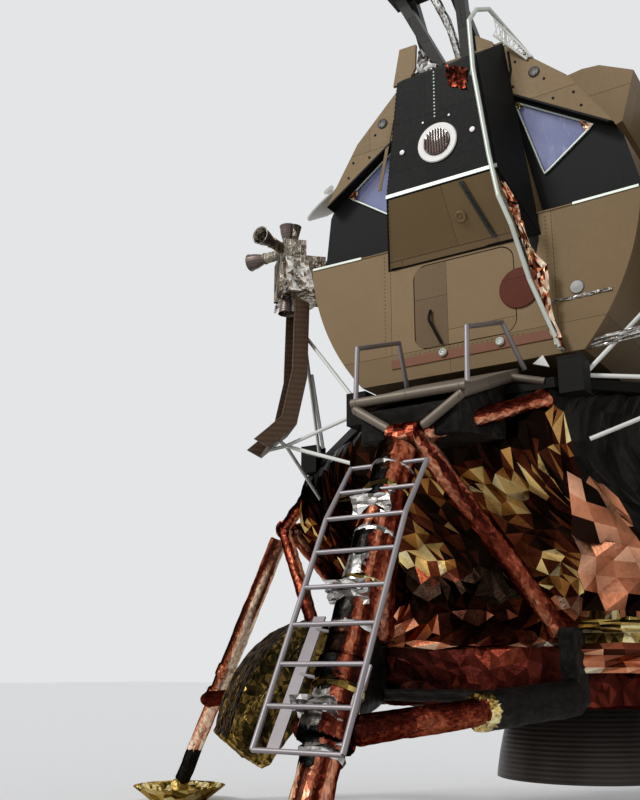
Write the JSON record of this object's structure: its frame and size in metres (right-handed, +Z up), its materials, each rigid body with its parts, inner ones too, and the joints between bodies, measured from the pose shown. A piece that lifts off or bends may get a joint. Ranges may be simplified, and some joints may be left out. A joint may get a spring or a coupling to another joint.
{
  "type": "two-stage lunar lander",
  "caption": "Four-legged two-stage lunar lander with ladder and porch, fold-down equipment pallet, opening hatches, gimballed engine and steerable antennas.",
  "frame": {"origin": "centre of the ground plane under the vehicle, at the footpads' undersides", "axes": "+Z up; the ladder and front hatch face -Y; +X is to the right of someone facing the ladder"},
  "size_m": [9.44, 9.44, 7.065],
  "materials": {
    "amber_foil": "crinkled aluminised amber film",
    "copper_foil": "crinkled aluminised copper-red film",
    "gold_foil": "crinkled gold film",
    "silver_foil": "crinkled silver film",
    "strut_foil": "banded film wrap",
    "black_panel": "satin black heat-resistant paint",
    "black_blanket": "matte black blanket",
    "bare_tube": "grey anodised tube",
    "porch_metal": "worn anodised sheet",
    "deflector_metal": "heat-browned sheet",
    "bell_metal": "dark heat-stained nozzle",
    "tan_panel": "tan anodised sheet panels",
    "pale_rail": "pale grey paint",
    "white_paint": "white thermal paint",
    "dark_metal": "dark grey paint",
    "window_glass": "coated blue-violet pane"
  },
  "bodies": {
    "lander": {"aft_bay": "tan_panel", "ascent_base": "black_blanket", "base_heat_shield": "copper_foil", "cabin_floor": "dark_metal", "cabin_shell": "tan_panel", "centre_panel": "black_panel", "cheek_plates": "tan_panel", "deck_corner_boxes": "black_panel", "deflector_tubes": "bare_tube", "descent_body": "amber_foil", "descent_deck": "black_panel", "docking_tunnel": "tan_panel", "downlock_trusses": "black_blanket", "engine_mount": "bell_metal", "footpad_front": "gold_foil", "footpad_left": "gold_foil", "footpad_rear": "gold_foil", "footpad_right": "gold_foil", "gas_tanks": "tan_panel", "hatch_rail": "pale_rail", "instrument_panel": "dark_metal", "interstage_fittings": "bare_tube", "ladder": "bare_tube", "landing_radar_bracket": "white_paint", "midsection": "tan_panel", "outriggers": "copper_foil", "pallet_hinges": "dark_metal", "plume_deflectors": "deflector_metal", "porch": "porch_metal", "porch_cover": "black_blanket", "porch_handrails": "bare_tube", "primary_strut_front": "strut_foil", "primary_strut_left": "strut_foil", "primary_strut_rear": "strut_foil", "primary_strut_right": "strut_foil", "quad_supports": "bare_tube", "radar_pedestal": "dark_metal", "rod_antennas": "silver_foil", "secondary_struts": "black_blanket", "shoulder_fairings": "tan_panel", "steer_boom": "dark_metal", "tank_bay_left": "black_panel", "tank_bay_right": "black_panel", "thruster_quad_front_left": "silver_foil", "thruster_quad_front_right": "silver_foil", "thruster_quad_rear_left": "silver_foil", "thruster_quad_rear_right": "silver_foil", "tracking_light": "white_paint", "window_glass": "window_glass"},
    "front_hatch": {"front_hatch": "tan_panel"},
    "top_hatch": {"top_hatch": "tan_panel"},
    "gimbal_ring": {"gimbal_ring": "bell_metal"},
    "descent_engine": {"descent_engine": "bell_metal"},
    "equipment_pallet": {"equipment_pallet": "gold_foil"},
    "landing_radar": {"landing_radar": "white_paint"},
    "radar_yoke": {"radar_yoke": "dark_metal"},
    "radar_dish": {"radar_dish": "white_paint"},
    "steer_head": {"steer_head": "dark_metal"},
    "steer_dish": {"steer_dish": "white_paint"}
  },
  "joints": [
    {"name": "front_hatch_hinge", "type": "hinge", "parent": "lander", "child": "front_hatch", "pos_m": [-0.398, -1.937, 3.94], "axis": [0, 0, 1], "range_deg": [0, 90]},
    {"name": "top_hatch_hinge", "type": "hinge", "parent": "lander", "child": "top_hatch", "pos_m": [0, 0.42, 5.777], "axis": [1, 0, 0], "range_deg": [0, 78]},
    {"name": "engine_pitch", "type": "hinge", "parent": "lander", "child": "gimbal_ring", "pos_m": [0, 0, 1.96], "axis": [0, 1, 0], "range_deg": [-6, 6]},
    {"name": "engine_roll", "type": "hinge", "parent": "gimbal_ring", "child": "descent_engine", "pos_m": [0, 0, 1.96], "axis": [1, 0, 0], "range_deg": [-6, 6]},
    {"name": "pallet_fold", "type": "hinge", "parent": "lander", "child": "equipment_pallet", "pos_m": [-1.42154, -1.42154, 1.5], "axis": [-0.7071, 0.7071, 0], "range_deg": [0, 142]},
    {"name": "landing_radar_tilt", "type": "hinge", "parent": "lander", "child": "landing_radar", "pos_m": [-0.98, 1.33, 0.97], "axis": [1, 0, 0], "range_deg": [0, 24]},
    {"name": "radar_shaft", "type": "hinge", "parent": "lander", "child": "radar_yoke", "pos_m": [-0.12, -2.15, 6.655], "axis": [0, 0, 1], "range_deg": [-45, 45]},
    {"name": "radar_trunnion", "type": "hinge", "parent": "radar_yoke", "child": "radar_dish", "pos_m": [-0.12, -2.15, 6.825], "axis": [1, 0, 0], "range_deg": [-55, 25]},
    {"name": "steer_azimuth", "type": "hinge", "parent": "lander", "child": "steer_head", "pos_m": [-1.54, -1.05, 5.44], "axis": [0, 0, 1], "range_deg": [-45, 3]},
    {"name": "steer_elevation", "type": "hinge", "parent": "steer_head", "child": "steer_dish", "pos_m": [-1.54, -1.05, 5.44], "axis": [-0.7837, 0.6211, 0], "range_deg": [-16, 15]}
  ]
}
